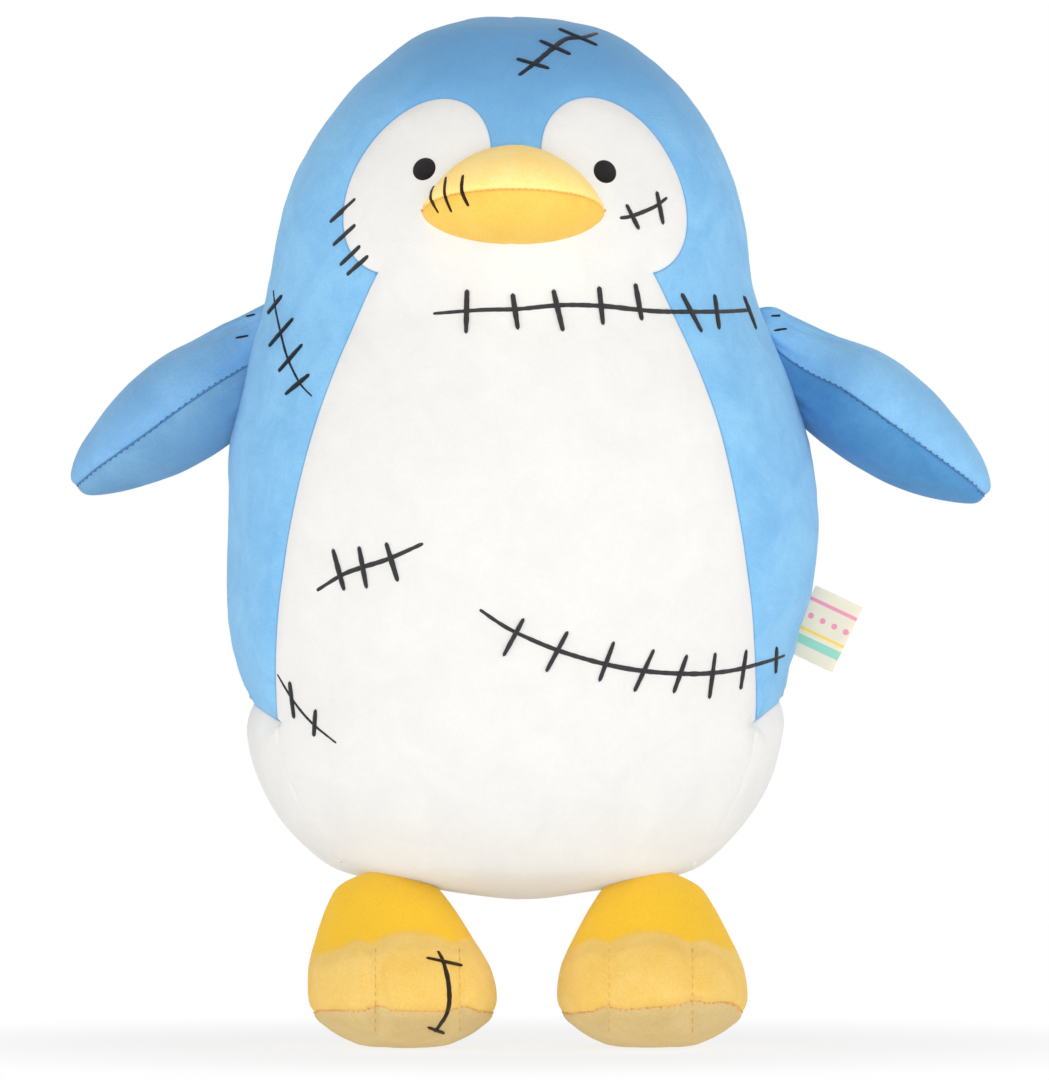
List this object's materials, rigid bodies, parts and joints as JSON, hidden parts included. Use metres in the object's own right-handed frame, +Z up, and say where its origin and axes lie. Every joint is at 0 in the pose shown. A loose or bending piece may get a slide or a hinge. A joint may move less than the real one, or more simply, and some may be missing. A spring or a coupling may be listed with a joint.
{
  "type": "plush penguin",
  "caption": "Standing plush penguin with a round hooded head, white face and belly, stuffed wings, beak and feet, and a blank side label.",
  "frame": {"origin": "on the floor under the middle of the toy's bounding box", "axes": "+Z up through the crown, +X to the toy's left, the face looks along -Y"},
  "size_m": [0.3674, 0.2025, 0.4],
  "materials": {
    "blue_plush": "short plush pile",
    "white_plush": "short plush pile",
    "yellow_plush": "short plush pile",
    "black_thread": "satin stitch embroidery",
    "label_ribbon": "woven ribbon",
    "filling": "polyester fibre wad"
  },
  "bodies": {
    "torso": {"torso_filling": "filling", "front_panel": "white_plush", "hood_panel": "blue_plush", "back_left_panel": "blue_plush", "back_right_panel": "blue_plush", "lower_left_panel": "white_plush", "lower_right_panel": "white_plush", "base_panel": "white_plush", "eye_left": "black_thread", "eye_right": "black_thread", "beak_upper_panel": "yellow_plush", "beak_lower_panel": "yellow_plush", "beak_filling": "filling"},
    "left wing": {"wing_left_upper_panel": "blue_plush", "wing_left_lower_panel": "blue_plush", "wing_left_filling": "filling"},
    "right wing": {"wing_right_upper_panel": "blue_plush", "wing_right_lower_panel": "blue_plush", "wing_right_filling": "filling"},
    "left foot": {"foot_left_top_panel": "yellow_plush", "foot_left_sole_panel": "yellow_plush", "foot_left_filling": "filling"},
    "right foot": {"foot_right_top_panel": "yellow_plush", "foot_right_sole_panel": "yellow_plush", "foot_right_filling": "filling"},
    "label": {"side_label": "label_ribbon"}
  },
  "joints": [
    {"name": "left wing flap", "type": "hinge", "parent": "torso", "child": "left wing", "pos_m": [0.101, 0.0102, 0.268], "axis": [0, -1, 0], "range_deg": [-3, 45], "stiffness_Nm_per_rad": 0.3},
    {"name": "right wing flap", "type": "hinge", "parent": "torso", "child": "right wing", "pos_m": [-0.101, 0.0102, 0.268], "axis": [0, 1, 0], "range_deg": [-3, 45], "stiffness_Nm_per_rad": 0.3},
    {"name": "left foot tilt", "type": "hinge", "parent": "torso", "child": "left foot", "pos_m": [0.0485, -0.0058, 0.05], "axis": [1, 0, 0], "range_deg": [-6, 6], "stiffness_Nm_per_rad": 4},
    {"name": "right foot tilt", "type": "hinge", "parent": "torso", "child": "right foot", "pos_m": [-0.0485, -0.0058, 0.05], "axis": [1, 0, 0], "range_deg": [-6, 6], "stiffness_Nm_per_rad": 4},
    {"name": "label flap", "type": "hinge", "parent": "torso", "child": "label", "pos_m": [0.11557, 0.0102, 0.16444], "axis": [0.363, 0, 0.9318], "range_deg": [-60, 60], "stiffness_Nm_per_rad": 0.0005}
  ]
}
